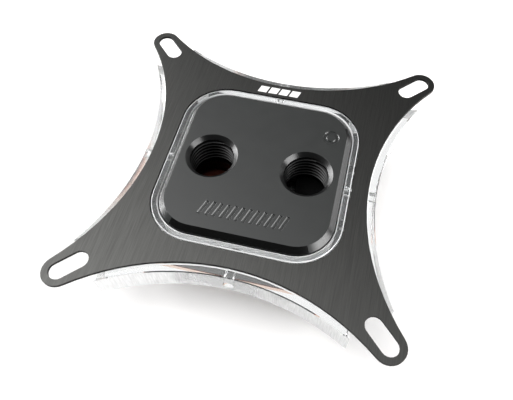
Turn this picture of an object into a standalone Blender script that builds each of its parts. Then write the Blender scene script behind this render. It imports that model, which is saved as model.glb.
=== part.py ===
"""Water block for a processor: copper cold plate, black housing with two threaded ports,
clear light plate and a black four-arm mounting bracket.

The origin is the centre of the cold plate's bottom face, +Z points up, away from the processor,
and the inlet port lies at +X. The script works in metres.
"""

import math

import bmesh
import bpy
from mathutils import Matrix, Vector

MM = 0.001

# Clearances
SEAT_GAP = 0.3 * MM       # between two faces that meet when the block is assembled
SCREW_GAP = 0.3 * MM      # round a screw, on the radius
LIP_GAP = 0.3 * MM        # between the lip and the boss inside it, and the bracket outside it
CUT_OVERRUN = 2.0 * MM    # how far a cutter runs past the face that it opens
JOIN_DEPTH = 1.0 * MM     # how far a boss or lip starts below the face that it rises from
WELD_DISTANCE = 0.001 * MM

# Threaded ports, G 1/4
PORT_PITCH = 26.0 * MM
THREAD_RADIUS = 6.58 * MM
TAP_DRILL_RADIUS = 5.72 * MM
THREAD_DEPTH = 11.0 * MM
PORT_MOUTH_RADIUS = 7.1 * MM
PORT_WALL = 3.55 * MM     # material between a port's thread and the boss's side

# Housing: a square boss that rises from a wider flange
BOSS_RISE = 1.5 * MM      # boss top above the bracket's top face
BOSS_CHAMFER = 1.5 * MM
CORNER_CENTRE = 13.05 * MM    # centre of the boss, lip and opening corner arcs, from the axis
FLANGE_WIDTH = 4.85 * MM
FLANGE_THICKNESS = 4.7 * MM
FLANGE_CORNER_RADIUS = 7.0 * MM

# Cold plate and its saw-cut channels
COLD_PLATE_THICKNESS = 2.5 * MM
COLD_PLATE_CHAMFER = 0.3 * MM
CHANNEL_COUNT = 28
CHANNEL_PITCH = 1.0 * MM
CHANNEL_WIDTH = 0.5 * MM
CHANNEL_DEPTH = 1.5 * MM
CHANNEL_LENGTH = 26.0 * MM
SAW_RADIUS = 10.0 * MM

# Water passages inside the housing
CHAMBER_DEPTH = 1.2 * MM
CHAMBER_CORNER_RADIUS = 6.0 * MM
CHAMBER_WALL = 0.9 * MM       # between the outlet chamber and the seal groove
MANIFOLD_TOP = 5.2 * MM       # height of the manifold's roof above the housing's underside
MANIFOLD_SPAN = 25.0 * MM     # along Y, over the jet slot
MANIFOLD_THROAT = 12.0 * MM   # along Y, where the inlet port opens into it
MANIFOLD_REACH = 3.6 * MM     # how far the manifold reaches in under the inlet port
JET_LEDGE = 1.5 * MM          # seat of the jet plate round the manifold
ISLAND_WALL = 1.1 * MM        # wall between the jet plate's seat and the outlet chamber
ISLAND_SETBACK = 0.08 * MM    # of the island's side from the outlet drill
ISLAND_CORNER_RADIUS = 1.5 * MM
JET_CORNER_RADIUS = 0.75 * MM # of the jet plate, its gasket and their seat

# Jet plate and its gasket
JET_PLATE_THICKNESS = 0.6 * MM
JET_GASKET_THICKNESS = 0.5 * MM
JET_SLOT_WIDTH = 1.5 * MM
JET_SLOT_LENGTH = 20.0 * MM
JET_SLOT_CORNER_RADIUS = 0.5 * MM

# Base seal, a round cord in a groove
SEAL_RADIUS = 1.0 * MM
SEAL_INSET = 1.95 * MM        # cord centre line, in from the boss's side

# Base screws, two along each edge
BASE_SCREW_RADIUS = 1.25 * MM
BASE_SCREW_HEAD_RADIUS = 2.3 * MM
BASE_SCREW_INSET = 2.9 * MM   # in from the flange's edge
BASE_SCREW_SPREAD = 9.0 * MM  # to each side of the edge's middle
BASE_SCREW_GRIP = 2.6 * MM    # thread that stands in the flange

# Bracket screws, one in each corner
BRACKET_SCREW_RADIUS = 1.5 * MM
BRACKET_SCREW_HEAD_RADIUS = 2.75 * MM
BRACKET_SCREW_INSET = 4.8 * MM
BRACKET_SCREW_GRIP = 6.2 * MM     # thread that stands in the light plate

HEAD_RECESS = 0.3 * MM
HEX_DEPTH_SHARE = 0.8         # of the head's height
HEX_RADIUS_SHARE = 0.85       # of the screw's radius, across the corners
SCREW_TIP_SHARE = 0.7         # of the screw's radius, at the flat end of its tip

# Light plate
LIGHT_PLATE_THICKNESS = 8.0 * MM
LIGHT_PLATE_CHAMFER = 0.25 * MM
LIGHT_PLATE_OVERHANG = 2.3 * MM   # past the bracket at the middle of each side
LIGHT_SIDE_FLATTENING = 4.6 * MM  # its side arc's radius over the bracket's
LIP_WIDTH = 1.75 * MM
DIODE_HOLE_RADIUS = 1.5 * MM
DIODE_HOLE_DROP = 4.75 * MM       # hole axis below the light plate's top
ARM_END_RADIUS = 7.3 * MM         # clear space round the mounting slot

# Mounting bracket
BRACKET_THICKNESS = 0.8 * MM
BRACKET_EDGE_BREAK = 0.08 * MM
RAIL_WIDTH = 4.4 * MM             # between the opening and the middle of each side
SLOT_PITCH = 72.0 * MM            # side of the square of holes that the inner slot ends fit
SLOT_TRAVEL = 5.66 * MM           # from the inner slot centre to the outer one
SLOT_RADIUS = 2.25 * MM
SLOT_LAND = 1.75 * MM             # metal left round the slot's end

# Facets
SIDE_STEPS = 24
TIP_STEPS = 14
CORNER_STEPS = 12
SLOT_STEPS = 10
PORT_STEPS = 48
SCREW_STEPS = 16
TEE_STEPS = 4
SAW_STEPS = 5
SEAL_STEPS = 8

# Heights, from the processor up
FLANGE_BOTTOM = COLD_PLATE_THICKNESS + SEAT_GAP
FLANGE_TOP = FLANGE_BOTTOM + FLANGE_THICKNESS
LIGHT_BOTTOM = FLANGE_TOP + SEAT_GAP
LIGHT_TOP = LIGHT_BOTTOM + LIGHT_PLATE_THICKNESS
BRACKET_BOTTOM = LIGHT_TOP + SEAT_GAP
BRACKET_TOP = BRACKET_BOTTOM + BRACKET_THICKNESS
BOSS_TOP = BRACKET_TOP + BOSS_RISE

# Half widths, from the axis out
PORT_X = PORT_PITCH / 2
BOSS_HALF = PORT_X + THREAD_RADIUS + PORT_WALL
FLANGE_HALF = BOSS_HALF + FLANGE_WIDTH
LIP_INNER_HALF = BOSS_HALF + LIP_GAP
LIP_OUTER_HALF = LIP_INNER_HALF + LIP_WIDTH
OPENING_HALF = LIP_OUTER_HALF + LIP_GAP
BRACKET_HALF = OPENING_HALF + RAIL_WIDTH
LIGHT_HALF = BRACKET_HALF + LIGHT_PLATE_OVERHANG

# Water passages, from the housing's underside
SEAL_HALF = BOSS_HALF - SEAL_INSET
GROOVE_MARGIN = SEAL_RADIUS + SEAT_GAP
CHAMBER_HALF = SEAL_HALF - GROOVE_MARGIN - CHAMBER_WALL
DRILL_INNER_X = PORT_X - TAP_DRILL_RADIUS
ISLAND_LEFT = DRILL_INNER_X - ISLAND_SETBACK
MANIFOLD_LEFT = ISLAND_LEFT - ISLAND_WALL - SEAT_GAP - JET_LEDGE
MANIFOLD_RIGHT = PORT_X - THREAD_RADIUS + MANIFOLD_REACH
SEAT_DEPTH = JET_PLATE_THICKNESS + JET_GASKET_THICKNESS + SEAT_GAP

# Slots, along each diagonal
SLOT_INNER = SLOT_PITCH / math.sqrt(2)
SLOT_OUTER = SLOT_INNER + SLOT_TRAVEL
SLOT_MIDDLE = (SLOT_INNER + SLOT_OUTER) / 2
TIP_RADIUS = SLOT_RADIUS + SLOT_LAND

PARTS = bpy.data.collections.new("cpu_water_block")
CUTTERS = bpy.data.collections.new("cutters")


def clear_scene():
    for item in list(bpy.data.objects):
        bpy.data.objects.remove(item, do_unlink=True)
    for collection in (PARTS, CUTTERS):
        bpy.context.scene.collection.children.link(collection)


def material(name, colour, metallic, roughness, transmission=0.0):
    made = bpy.data.materials.new(name)
    made.use_nodes = True
    shader = made.node_tree.nodes["Principled BSDF"]
    shader.inputs["Base Color"].default_value = (*colour, 1.0)
    shader.inputs["Metallic"].default_value = metallic
    shader.inputs["Roughness"].default_value = roughness
    shader.inputs["Transmission Weight"].default_value = transmission
    return made


# Outlines

def arc(centre, radius, start, end, steps):
    """Points on an arc, both ends included."""
    angles = [start + (end - start) * step / steps for step in range(steps + 1)]
    return [
        (centre[0] + radius * math.cos(angle), centre[1] + radius * math.sin(angle))
        for angle in angles
    ]


def turned_points(points, angle):
    return [tuple(Matrix.Rotation(angle, 2) @ Vector(point)) for point in points]


def rounded(corners, radius, steps=CORNER_STEPS):
    """The outline through the corners, counter-clockwise, with each corner rounded."""
    outline = []
    for index, corner in enumerate(corners):
        here = Vector(corner)
        back = (Vector(corners[index - 1]) - here).normalized()
        ahead = (Vector(corners[(index + 1) % len(corners)]) - here).normalized()
        half_angle = back.angle(ahead) / 2
        centre = here + (back + ahead).normalized() * radius / math.sin(half_angle)
        first = here + back * radius / math.tan(half_angle) - centre
        turn = math.copysign(math.pi - 2 * half_angle, ahead.cross(back))
        start = math.atan2(first.y, first.x)
        outline += arc(centre, radius, start, start + turn, steps)
    return outline


def square(half, corner_radius):
    return rounded([(half, -half), (half, half), (-half, half), (-half, -half)], corner_radius)


def concentric_square(half):
    """A square whose corner arcs share their centres with the boss's."""
    return square(half, half - CORNER_CENTRE)


def tee(margin, corner_radius):
    """The manifold's T shape, grown by a margin: a bar over the jet slot and a throat to the inlet."""
    left = -MANIFOLD_LEFT - margin
    bar_right = MANIFOLD_LEFT + margin
    throat_right = MANIFOLD_RIGHT + margin
    bar_half = MANIFOLD_SPAN / 2 + margin
    throat_half = MANIFOLD_THROAT / 2 + margin
    corners = [
        (left, -bar_half),
        (bar_right, -bar_half),
        (bar_right, -throat_half),
        (throat_right, -throat_half),
        (throat_right, throat_half),
        (bar_right, throat_half),
        (bar_right, bar_half),
        (left, bar_half),
    ]
    return rounded(corners, corner_radius, steps=TEE_STEPS)


def slot_outline(inner, outer, radius, angle):
    """A slot with round ends, along the direction of the angle."""
    quarter = math.pi / 2
    outline = arc((outer, 0), radius, -quarter, quarter, SLOT_STEPS)
    outline += arc((inner, 0), radius, quarter, 3 * quarter, SLOT_STEPS)
    return turned_points(outline, angle)


def bracket_outline():
    """Four arms with round tips, joined by concave sides that run into the tips without a corner."""
    tip = SLOT_OUTER / math.sqrt(2)
    side_centre, side_radius = bracket_side()
    swing = math.atan2(tip, side_centre - tip)
    outline = []
    for quarter in range(4):
        side = arc((side_centre, 0), side_radius, math.pi + swing, math.pi - swing, SIDE_STEPS)
        end = arc((tip, tip), TIP_RADIUS, -swing, math.pi / 2 + swing, TIP_STEPS)
        outline += turned_points(side[:-1] + end[:-1], quarter * math.pi / 2)
    return outline


def bracket_side():
    """Centre distance and radius of the side arc that touches two tips and the middle of a side."""
    tip = SLOT_OUTER / math.sqrt(2)
    reach = BRACKET_HALF - TIP_RADIUS
    centre = (SLOT_OUTER**2 - reach**2) / (2 * (tip - reach))
    return centre, centre - BRACKET_HALF


def light_plate_outline():
    """Four arms with concave sides, each arm ending in a hollow that clears the mounting slot."""
    side_radius = bracket_side()[1] + LIGHT_SIDE_FLATTENING
    side_centre = Vector((LIGHT_HALF + side_radius, 0))
    end_centre = Vector((SLOT_MIDDLE, SLOT_MIDDLE)) / math.sqrt(2)
    corner = inner_crossing(side_centre, side_radius, end_centre, ARM_END_RADIUS)
    swing = math.atan2(corner.y, side_centre.x - corner.x)
    ray = corner - end_centre
    start = math.atan2(ray.y, ray.x) % (2 * math.pi)
    outline = []
    for quarter in range(4):
        side = arc(side_centre, side_radius, math.pi + swing, math.pi - swing, SIDE_STEPS)
        end = arc(end_centre, ARM_END_RADIUS, start, 2.5 * math.pi - start, SLOT_STEPS)
        outline += turned_points(side[:-1] + end[:-1], quarter * math.pi / 2)
    return outline


def inner_crossing(centre_a, radius_a, centre_b, radius_b):
    """Where two circles cross, on the side that lies nearer to the block's axis."""
    line = centre_b - centre_a
    along = (radius_a**2 - radius_b**2 + line.length_squared) / (2 * line.length)
    across = math.sqrt(radius_a**2 - along**2)
    foot = centre_a + line.normalized() * along
    sideways = line.normalized().orthogonal() * across
    return min(foot + sideways, foot - sideways, key=lambda point: point.length)


# Meshes

def baked(guide, name):
    """The guide's evaluated mesh, welded, with its faces pointing out. The guide is removed."""
    bpy.context.scene.collection.objects.link(guide)
    graph = bpy.context.evaluated_depsgraph_get()
    mesh = bpy.data.meshes.new_from_object(guide.evaluated_get(graph))
    mesh.name = name
    bpy.data.objects.remove(guide, do_unlink=True)
    edit = bmesh.new()
    edit.from_mesh(mesh)
    bmesh.ops.remove_doubles(edit, verts=edit.verts, dist=WELD_DISTANCE)
    bmesh.ops.dissolve_limit(
        edit, angle_limit=math.radians(0.1), verts=edit.verts, edges=edit.edges
    )
    bmesh.ops.recalc_face_normals(edit, faces=edit.faces)
    edit.to_mesh(mesh)
    edit.free()
    return mesh


def extruded(name, outlines, height):
    """A flat shape of one thickness, standing on z = 0. Outlines after the first are holes."""
    curve = bpy.data.curves.new(name, "CURVE")
    curve.dimensions = "2D"
    curve.fill_mode = "BOTH"
    curve.extrude = height / 2
    for outline in outlines:
        spline = curve.splines.new("POLY")
        spline.points.add(len(outline) - 1)
        for point, (x, y) in zip(spline.points, outline):
            point.co = (x, y, 0, 1)
        spline.use_cyclic_u = True
    mesh = baked(bpy.data.objects.new(name, curve), name)
    mesh.transform(Matrix.Translation((0, 0, height / 2)))
    return mesh


def turned(name, profile, steps):
    """A round shape from its radius and height pairs, which run down its outer side."""
    line = bpy.data.meshes.new(name)
    points = [(radius, 0, height) for radius, height in profile]
    line.from_pydata(points, [(step, step + 1) for step in range(len(points) - 1)], [])
    guide = bpy.data.objects.new(name, line)
    screw = guide.modifiers.new("Turn", "SCREW")
    screw.steps = screw.render_steps = steps
    screw.use_merge_vertices = True
    screw.merge_threshold = 0.01 * MM
    return baked(guide, name)


def chamfered(mesh, height, width):
    """Cuts a 45 degree chamfer along the rim that lies at the height."""
    edit = bmesh.new()
    edit.from_mesh(mesh)
    rim = [
        edge
        for edge in edit.edges
        if all(abs(vert.co.z - height) < width / 10 for vert in edge.verts)
    ]
    bmesh.ops.bevel(edit, geom=rim, offset=width, segments=1, affect="EDGES", profile=0.5)
    edit.to_mesh(mesh)
    edit.free()
    return mesh


def repeated(mesh, places):
    """One mesh that holds a copy of the given one at each place."""
    edit = bmesh.new()
    for place in places:
        before = len(edit.verts)
        edit.from_mesh(mesh)
        edit.verts.ensure_lookup_table()
        bmesh.ops.translate(edit, verts=edit.verts[before:], vec=(*place, 0))
    edit.to_mesh(mesh)
    edit.free()
    return mesh


def placed(mesh, height, finish=None, name=None, spot=(0, 0)):
    """Stands a mesh at its height, as a part where a finish is given and as a cutter otherwise."""
    item = bpy.data.objects.new(name or mesh.name, mesh)
    item.location = (*spot, height)
    if finish is None:
        CUTTERS.objects.link(item)
        item.hide_render = True
        item.display_type = "WIRE"
    else:
        PARTS.objects.link(item)
        if not mesh.materials:
            mesh.materials.append(finish)
        mesh.shade_smooth()
        mesh.set_sharp_from_angle(angle=math.radians(30))
    return item


def combine(item, operation, others):
    for other in others:
        step = item.modifiers.new(other.name, "BOOLEAN")
        step.operation = operation
        step.solver = "EXACT"
        step.object = other


# Fasteners

def screw_places(inset, spread):
    """Two places along each edge, or one in each corner where no spread is given."""
    edge = FLANGE_HALF - inset
    if spread is None:
        return [(x * edge, y * edge) for x in (1, -1) for y in (1, -1)]
    along_x = [(x * spread, y * edge) for x in (1, -1) for y in (1, -1)]
    return along_x + [(y, x) for x, y in along_x]


def screw_body(name, radius, head_radius, tip):
    """A countersunk screw with its head down and its tip at the given height."""
    head_top = HEAD_RECESS + head_radius - radius
    tip_radius = radius * SCREW_TIP_SHARE
    profile = [
        (0, tip),
        (tip_radius, tip),
        (radius, tip - radius + tip_radius),
        (radius, head_top),
        (head_radius, HEAD_RECESS),
        (0, HEAD_RECESS),
    ]
    return turned(name, profile, SCREW_STEPS)


def screw_room(name, radius, head_radius, top):
    """The hole for a countersunk screw, from below the cold plate up to the given height."""
    head_top = HEAD_RECESS + head_radius - radius
    wide = head_radius + SCREW_GAP
    narrow = radius + SCREW_GAP
    profile = [(0, top), (narrow, top), (narrow, head_top), (wide, HEAD_RECESS)]
    profile += [(wide, -CUT_OVERRUN), (0, -CUT_OVERRUN)]
    return turned(name, profile, SCREW_STEPS)


def hex_socket(name, radius, head_radius):
    """The cutter for a screw head's hexagon socket."""
    depth = (head_radius - radius) * HEX_DEPTH_SHARE
    outline = arc((0, 0), radius * HEX_RADIUS_SHARE, 0, math.tau * 5 / 6, 5)
    mesh = extruded(name, [outline], depth + HEAD_RECESS)
    return placed(mesh, 0)


def screws(name, radius, head_radius, tip, places, steel):
    body = screw_body(name, radius, head_radius, tip)
    socket = hex_socket(name + "_socket", radius, head_radius)
    for number, spot in enumerate(places, start=1):
        item = placed(body, 0, steel, f"{name}_{number}", spot)
        own_socket = socket.copy()
        own_socket.location = (*spot, 0)
        CUTTERS.objects.link(own_socket)
        combine(item, "DIFFERENCE", [own_socket])
    bpy.data.objects.remove(socket, do_unlink=True)


# Parts

def cold_plate(copper, holes):
    """The copper base, with saw-cut channels that shoal at both ends."""
    mesh = extruded("cold_plate", [square(FLANGE_HALF, FLANGE_CORNER_RADIUS)], COLD_PLATE_THICKNESS)
    for height in (0, COLD_PLATE_THICKNESS):
        chamfered(mesh, height, COLD_PLATE_CHAMFER)
    plate = placed(mesh, 0, copper)
    combine(plate, "DIFFERENCE", holes + [channel_cutter()])


def channel_cutter():
    """A saw blade's path through the copper, repeated across the plate."""
    swing = math.acos(1 - CHANNEL_DEPTH / SAW_RADIUS)
    run_out = SAW_RADIUS * math.sin(swing)
    turn_x = CHANNEL_LENGTH / 2 - run_out
    quarter = math.pi / 2
    profile = arc((-turn_x, SAW_RADIUS), SAW_RADIUS, -quarter - swing, -quarter, SAW_STEPS)
    profile += arc((turn_x, SAW_RADIUS), SAW_RADIUS, -quarter, -quarter + swing, SAW_STEPS)
    rise = CHANNEL_DEPTH + CUT_OVERRUN
    profile += [(CHANNEL_LENGTH / 2, rise), (-CHANNEL_LENGTH / 2, rise)]
    mesh = extruded("channels", [profile], CHANNEL_WIDTH)
    mesh.transform(Matrix.Rotation(quarter, 4, "X"))
    mesh.transform(Matrix.Translation((0, CHANNEL_WIDTH / 2, 0)))
    cutter = placed(mesh, COLD_PLATE_THICKNESS - CHANNEL_DEPTH)
    cutter.location.y = -CHANNEL_PITCH * (CHANNEL_COUNT - 1) / 2
    row = cutter.modifiers.new("Row", "ARRAY")
    row.count = CHANNEL_COUNT
    row.use_relative_offset = False
    row.use_constant_offset = True
    row.constant_offset_displace = (0, CHANNEL_PITCH, 0)
    return cutter


def top_housing(acetal, holes):
    """The flange and chamfered boss, with the two ports and the water passages cut into them."""
    flange = extruded(
        "top_housing", [square(FLANGE_HALF, FLANGE_CORNER_RADIUS)], FLANGE_THICKNESS
    )
    housing = placed(flange, FLANGE_BOTTOM, acetal)
    boss_bottom = FLANGE_TOP - JOIN_DEPTH
    boss_height = BOSS_TOP - boss_bottom
    boss = extruded("boss", [concentric_square(BOSS_HALF)], boss_height)
    chamfered(boss, boss_height, BOSS_CHAMFER)
    combine(housing, "UNION", [placed(boss, boss_bottom)])
    combine(housing, "DIFFERENCE", holes + passage_cutters() + port_cutters())


def passage_cutters():
    """Seal groove, outlet chamber, jet plate seat and manifold, all milled from below."""
    groove = extruded(
        "seal_groove",
        [concentric_square(SEAL_HALF + GROOVE_MARGIN), concentric_square(SEAL_HALF - GROOVE_MARGIN)],
        CUT_OVERRUN + 2 * SEAL_RADIUS + SEAT_GAP,
    )
    island_margin = JET_LEDGE + SEAT_GAP + ISLAND_WALL
    chamber = extruded(
        "outlet_chamber",
        [square(CHAMBER_HALF, CHAMBER_CORNER_RADIUS), tee(island_margin, ISLAND_CORNER_RADIUS)],
        CUT_OVERRUN + CHAMBER_DEPTH,
    )
    seat_outline = tee(JET_LEDGE + SEAT_GAP, JET_CORNER_RADIUS)
    seat = extruded("jet_seat", [seat_outline], CUT_OVERRUN + SEAT_DEPTH)
    manifold = extruded("manifold", [tee(0, JET_CORNER_RADIUS)], CUT_OVERRUN + MANIFOLD_TOP)
    return [placed(mesh, FLANGE_BOTTOM - CUT_OVERRUN) for mesh in (groove, chamber, seat, manifold)]


def port_cutters():
    """The inlet is blind and meets the manifold. The outlet runs on down into its chamber."""
    mouth = [(0, CUT_OVERRUN), (PORT_MOUTH_RADIUS, CUT_OVERRUN), (PORT_MOUTH_RADIUS, 0)]
    neck = [(THREAD_RADIUS, THREAD_RADIUS - PORT_MOUTH_RADIUS), (THREAD_RADIUS, -THREAD_DEPTH)]
    underside = FLANGE_BOTTOM - BOSS_TOP - CUT_OVERRUN
    blind = [(0, -THREAD_DEPTH)]
    through = [(TAP_DRILL_RADIUS, -THREAD_DEPTH), (TAP_DRILL_RADIUS, underside), (0, underside)]
    inlet = turned("inlet_port", mouth + neck + blind, PORT_STEPS)
    outlet = turned("outlet_port", mouth + neck + through, PORT_STEPS)
    return [
        placed(inlet, BOSS_TOP, spot=(PORT_X, 0)),
        placed(outlet, BOSS_TOP, spot=(-PORT_X, 0)),
    ]


def jet_plate_and_gasket(steel, rubber):
    """The slotted steel plate over the channels, and the rubber frame between it and the housing."""
    half_width = JET_SLOT_WIDTH / 2
    half_length = JET_SLOT_LENGTH / 2
    slot = rounded(
        [
            (half_width, -half_length),
            (half_width, half_length),
            (-half_width, half_length),
            (-half_width, -half_length),
        ],
        JET_SLOT_CORNER_RADIUS,
        steps=TEE_STEPS,
    )
    outer = tee(JET_LEDGE, JET_CORNER_RADIUS)
    inner = tee(0, JET_CORNER_RADIUS)
    plate_bottom = FLANGE_BOTTOM - SEAT_GAP / 2
    seat_top = FLANGE_BOTTOM + SEAT_DEPTH
    plate_top = plate_bottom + JET_PLATE_THICKNESS
    gasket_bottom = (plate_top + seat_top - JET_GASKET_THICKNESS) / 2
    plate = extruded("jet_plate", [outer, slot], JET_PLATE_THICKNESS)
    placed(plate, plate_bottom, steel)
    gasket = extruded("jet_gasket", [outer, inner], JET_GASKET_THICKNESS)
    placed(gasket, gasket_bottom, rubber)


def base_seal(rubber):
    """A round rubber cord that follows the groove."""
    curve = bpy.data.curves.new("base_seal", "CURVE")
    curve.dimensions = "3D"
    curve.bevel_depth = SEAL_RADIUS
    curve.bevel_resolution = (SEAL_STEPS - 4) // 2
    outline = concentric_square(SEAL_HALF)
    spline = curve.splines.new("POLY")
    spline.points.add(len(outline) - 1)
    for point, (x, y) in zip(spline.points, outline):
        point.co = (x, y, 0, 1)
    spline.use_cyclic_u = True
    mesh = baked(bpy.data.objects.new("base_seal", curve), "base_seal")
    placed(mesh, FLANGE_BOTTOM + SEAL_RADIUS, rubber)


def light_plate(acrylic, holes):
    """The clear plate, its lip, the boss opening through both and the diode hole in each side."""
    body = extruded("light_plate", [light_plate_outline()], LIGHT_PLATE_THICKNESS)
    for height in (0, LIGHT_PLATE_THICKNESS):
        chamfered(body, height, LIGHT_PLATE_CHAMFER)
    plate = placed(body, LIGHT_BOTTOM, acrylic)
    lip_bottom = LIGHT_TOP - JOIN_DEPTH
    lip_height = BRACKET_TOP - lip_bottom
    lip = extruded("lip", [concentric_square(LIP_OUTER_HALF)], lip_height)
    chamfered(lip, lip_height, LIGHT_PLATE_CHAMFER)
    combine(plate, "UNION", [placed(lip, lip_bottom)])
    combine(plate, "DIFFERENCE", [boss_opening(), *diode_holes(), *holes])


def boss_opening():
    """The opening for the boss, flared at the top of the lip."""
    height = BRACKET_TOP - LIGHT_BOTTOM
    mesh = extruded("boss_opening", [concentric_square(LIP_INNER_HALF)], height + CUT_OVERRUN)
    edit = bmesh.new()
    edit.from_mesh(mesh)
    roof = max(edit.faces, key=lambda face: face.calc_center_median().z)
    drop = CUT_OVERRUN + LIGHT_PLATE_CHAMFER
    bmesh.ops.translate(edit, verts=roof.verts, vec=(0, 0, -drop))
    grown = bmesh.ops.extrude_face_region(edit, geom=[roof])
    verts = [item for item in grown["geom"] if isinstance(item, bmesh.types.BMVert)]
    bmesh.ops.delete(edit, geom=[roof], context="FACES_ONLY")
    flare = 1 + 2 * LIGHT_PLATE_CHAMFER / LIP_INNER_HALF
    bmesh.ops.scale(edit, verts=verts, vec=(flare, flare, 1))
    bmesh.ops.translate(edit, verts=verts, vec=(0, 0, 2 * LIGHT_PLATE_CHAMFER))
    floor = [vert for vert in edit.verts if vert.co.z < LIGHT_PLATE_CHAMFER]
    bmesh.ops.translate(edit, verts=floor, vec=(0, 0, -CUT_OVERRUN))
    bmesh.ops.recalc_face_normals(edit, faces=edit.faces)
    edit.to_mesh(mesh)
    edit.free()
    return placed(mesh, LIGHT_BOTTOM)


def diode_holes():
    """Two long drills that cross at the axis, each opening the hole in two opposite sides."""
    length = 2 * (LIGHT_HALF + CUT_OVERRUN)
    rod = [(0, length / 2), (DIODE_HOLE_RADIUS, length / 2)]
    rod += [(DIODE_HOLE_RADIUS, -length / 2), (0, -length / 2)]
    drills = []
    for axis in ("X", "Y"):
        mesh = turned("diode_holes_" + axis, rod, SCREW_STEPS)
        mesh.transform(Matrix.Rotation(math.pi / 2, 4, axis))
        drills.append(placed(mesh, LIGHT_TOP - DIODE_HOLE_DROP))
    return drills


def mounting_bracket(aluminium):
    """The thin four-arm plate with its square opening and a slot in each arm."""
    plate = extruded("mounting_bracket", [bracket_outline()], BRACKET_THICKNESS)
    for height in (0, BRACKET_THICKNESS):
        chamfered(plate, height, BRACKET_EDGE_BREAK)
    bracket = placed(plate, BRACKET_BOTTOM, aluminium)
    depth = BRACKET_THICKNESS + 2 * CUT_OVERRUN
    openings = [extruded("square_opening", [concentric_square(OPENING_HALF)], depth)]
    for arm in range(4):
        angle = math.pi / 4 + arm * math.pi / 2
        outline = slot_outline(SLOT_INNER, SLOT_OUTER, SLOT_RADIUS, angle)
        openings.append(extruded(f"slot_{arm + 1}", [outline], depth))
    bottom = BRACKET_BOTTOM - CUT_OVERRUN
    combine(bracket, "DIFFERENCE", [placed(mesh, bottom) for mesh in openings])


def build():
    clear_scene()
    copper = material("copper", (0.72, 0.34, 0.22), 1.0, 0.3)
    acetal = material("black_acetal", (0.02, 0.02, 0.021), 0.0, 0.4)
    acrylic = material("clear_acrylic", (0.95, 0.97, 0.97), 0.0, 0.03, transmission=1.0)
    anodised = material("black_anodised_aluminium", (0.05, 0.05, 0.048), 0.7, 0.38)
    steel = material("stainless_steel", (0.55, 0.55, 0.55), 1.0, 0.3)
    rubber = material("black_rubber", (0.015, 0.015, 0.015), 0.0, 0.7)

    base_places = screw_places(BASE_SCREW_INSET, BASE_SCREW_SPREAD)
    corner_places = screw_places(BRACKET_SCREW_INSET, None)
    base_tip = FLANGE_BOTTOM + BASE_SCREW_GRIP
    bracket_tip = LIGHT_BOTTOM + BRACKET_SCREW_GRIP
    base_room = screw_room(
        "base_screw_holes", BASE_SCREW_RADIUS, BASE_SCREW_HEAD_RADIUS, FLANGE_TOP + CUT_OVERRUN
    )
    bracket_room = screw_room(
        "bracket_screw_holes",
        BRACKET_SCREW_RADIUS,
        BRACKET_SCREW_HEAD_RADIUS,
        bracket_tip + SCREW_GAP,
    )
    base_holes = placed(repeated(base_room, base_places), 0)
    bracket_holes = placed(repeated(bracket_room, corner_places), 0)

    cold_plate(copper, [base_holes, bracket_holes])
    top_housing(acetal, [base_holes, bracket_holes])
    jet_plate_and_gasket(steel, rubber)
    base_seal(rubber)
    light_plate(acrylic, [bracket_holes])
    mounting_bracket(anodised)
    screws(
        "base_screw", BASE_SCREW_RADIUS, BASE_SCREW_HEAD_RADIUS, base_tip, base_places, steel
    )
    screws(
        "bracket_screw",
        BRACKET_SCREW_RADIUS,
        BRACKET_SCREW_HEAD_RADIUS,
        bracket_tip,
        corner_places,
        steel,
    )


build()
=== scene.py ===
"""Looks of the water block: brushed black bracket, clear plate, black top with two threaded ports
and copper base, on a pale floor in soft studio light.

The units are metres, and MM turns millimetres into them. Z is up, and the camera stands towards -Y.
"""

import math

import bmesh
import bpy
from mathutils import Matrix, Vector

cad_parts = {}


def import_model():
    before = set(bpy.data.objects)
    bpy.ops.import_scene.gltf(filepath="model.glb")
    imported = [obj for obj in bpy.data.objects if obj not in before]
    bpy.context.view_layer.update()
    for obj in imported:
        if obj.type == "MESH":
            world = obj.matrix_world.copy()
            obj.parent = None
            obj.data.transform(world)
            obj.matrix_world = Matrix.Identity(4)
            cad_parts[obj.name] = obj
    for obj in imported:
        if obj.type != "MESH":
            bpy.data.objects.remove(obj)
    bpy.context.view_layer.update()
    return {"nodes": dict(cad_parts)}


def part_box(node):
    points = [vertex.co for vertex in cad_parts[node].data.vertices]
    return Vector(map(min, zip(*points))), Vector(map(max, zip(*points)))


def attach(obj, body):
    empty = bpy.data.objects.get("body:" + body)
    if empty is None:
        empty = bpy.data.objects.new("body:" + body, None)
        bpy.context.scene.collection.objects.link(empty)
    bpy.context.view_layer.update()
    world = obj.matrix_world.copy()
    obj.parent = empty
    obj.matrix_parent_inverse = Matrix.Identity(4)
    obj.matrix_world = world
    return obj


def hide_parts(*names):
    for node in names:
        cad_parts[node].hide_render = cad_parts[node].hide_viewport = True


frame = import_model()

MM = 0.001

# Camera, as the photograph was taken
CAMERA_PLACE = (21.3 * MM, -75.1 * MM, 132.2 * MM)
CAMERA_TURN = (30.46, 0.12, 13.23)    # degrees
CAMERA_LENS = 36.2
CAMERA_SENSOR = 36.0
CAMERA_SHIFT = -0.028
CAMERA_CLIP = (0.01, 10.0)

# Lamps: where each one stands, what it is aimed at, its width and height, and its radiance
LAMPS = {
    "left": ((-0.55, 0.2, 0.085), (0, 0, 0.02), (0.6, 0.2), 20.0),
    "right": ((0.49, -0.12, 0.22), (0, 0, 0.03), (0.4, 0.28), 11.0),
    "back": ((0.5, 0.31, 0.05), (0, 0, 0.02), (0.3, 0.09), 3.0),
    "front": ((0.0, -0.6, 0.03), (0, 0, 0.01), (0.8, 0.05), 5.0),
}
LIGHT_BOUNCES = 28

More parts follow.
